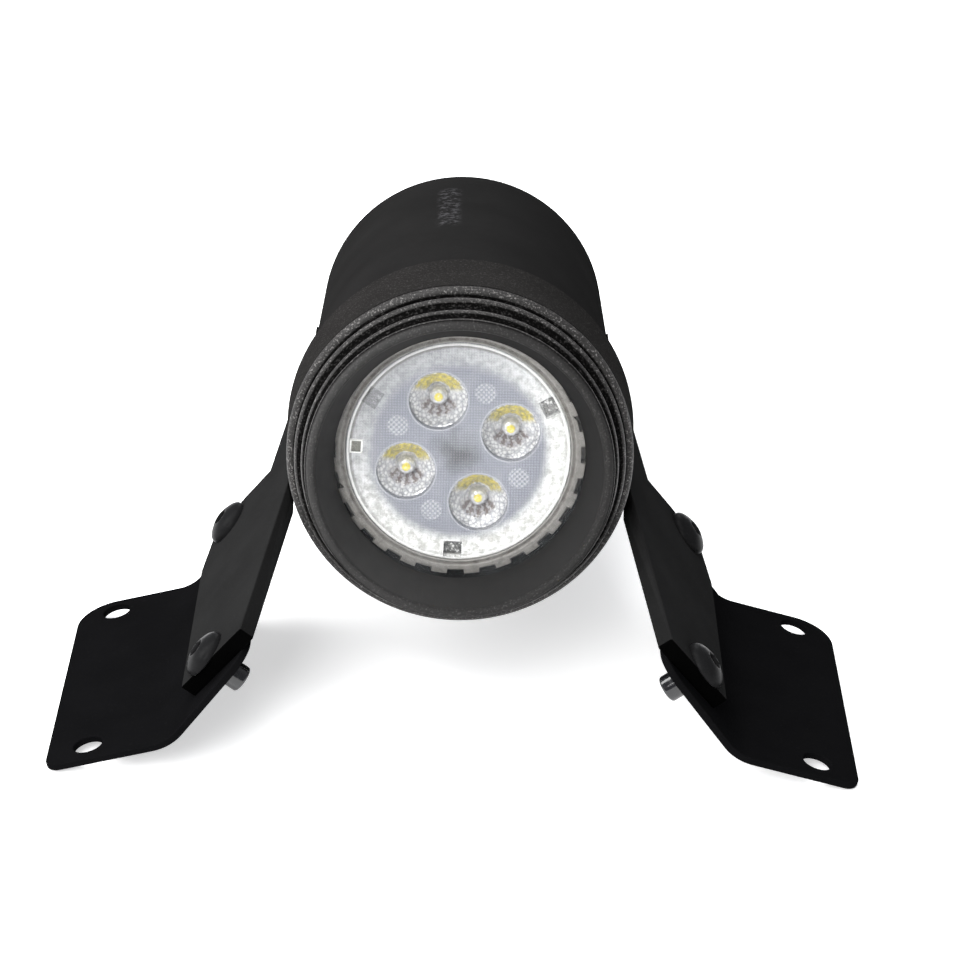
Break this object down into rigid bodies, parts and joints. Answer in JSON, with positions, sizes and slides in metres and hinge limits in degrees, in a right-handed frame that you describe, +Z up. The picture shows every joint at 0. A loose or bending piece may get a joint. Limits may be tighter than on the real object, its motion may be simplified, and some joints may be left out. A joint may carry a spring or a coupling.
{
  "type": "underwater pond light",
  "caption": "Round sealed pond light with a screw-on front ring over a reflector-type lamp, a rear cable gland and splayed bolted feet.",
  "frame": {"origin": "on the plane that the light stands on, half way along its length and half way between its feet", "axes": "+Z up, +Y from the lamp's face towards the cable gland, +X to the right when looking along +Y"},
  "size_m": [0.1596, 0.1844, 0.0867],
  "materials": {
    "housing_black": "fine-grained matt",
    "ring_black": "coarse-grained matt with polished edges",
    "cover_glass": "clear polished",
    "seal_rubber": "smooth",
    "bezel_grey": "satin",
    "lens_clear": "clear with a fine dot texture",
    "clip_grey": "satin",
    "phosphor_yellow": "translucent gloss",
    "board_white": "solder mask",
    "heatsink_aluminium": "die cast",
    "board_green": "solder mask",
    "ceramic_white": "unglazed ceramic",
    "contact_brass": "drawn",
    "screw_steel": "stainless",
    "plate_grey": "matt",
    "wire_black": "satin sleeve",
    "gland_black": "satin",
    "arm_black": "fine-grained matt",
    "screw_black": "black oxide",
    "bracket_black": "satin powder coat",
    "nut_black": "gloss black"
  },
  "bodies": {
    "fixture": {"housing": "housing_black", "ring_o_ring": "seal_rubber", "lamp_bezel": "bezel_grey", "lamp_lens": "lens_clear", "lens_cones": "lens_clear", "lens_clips": "clip_grey", "led_chips": "phosphor_yellow", "led_board": "board_white", "lamp_heatsink": "heatsink_aluminium", "driver_board": "board_green", "lamp_base": "ceramic_white", "lamp_pins": "contact_brass", "lamp_socket": "ceramic_white", "socket_contacts": "contact_brass", "socket_screws": "screw_steel", "socket_plate": "plate_grey", "plate_screws": "screw_steel", "socket_leads": "wire_black", "terminal_block": "ceramic_white", "clamp_screws": "screw_steel", "block_screws": "screw_steel", "rear_gasket": "seal_rubber", "rear_cap": "housing_black", "rear_cap_screws": "screw_steel", "gland_body": "gland_black", "gland_washer": "seal_rubber", "gland_locknut": "gland_black", "left_arm": "arm_black", "right_arm": "arm_black", "shoe_screws": "screw_black", "left_bracket": "bracket_black", "right_bracket": "bracket_black", "arm_screws": "screw_black", "blind_nuts": "nut_black"},
    "glass_carrier": {"cover_glass": "cover_glass", "glass_gasket": "seal_rubber"},
    "front_ring": {"front_ring": "ring_black"},
    "seal_carrier": {"gland_seal": "seal_rubber"},
    "gland_nut": {"gland_nut": "gland_black"}
  },
  "joints": [
    {"name": "ring_advance", "type": "slide", "parent": "fixture", "child": "glass_carrier", "axis": [0, -0.986, 0.1668], "range_m": [0, 0.008]},
    {"name": "ring_turn", "type": "hinge", "parent": "glass_carrier", "child": "front_ring", "pos_m": [0, -0.0546, 0.05275], "axis": [0, -0.986, 0.1668], "range_deg": [0, 721]},
    {"name": "gland_advance", "type": "slide", "parent": "fixture", "child": "seal_carrier", "axis": [0, 0.986, -0.1668], "range_m": [0, 0.003]},
    {"name": "gland_turn", "type": "hinge", "parent": "seal_carrier", "child": "gland_nut", "pos_m": [0, 0.08394, 0.02931], "axis": [0, 0.986, -0.1668], "range_deg": [0, 721]}
  ],
  "couplings": [
    {"joint": "ring_turn", "follows": "ring_advance", "rad_per_m": 1570.8},
    {"joint": "gland_turn", "follows": "gland_advance", "rad_per_m": 4188.8}
  ]
}
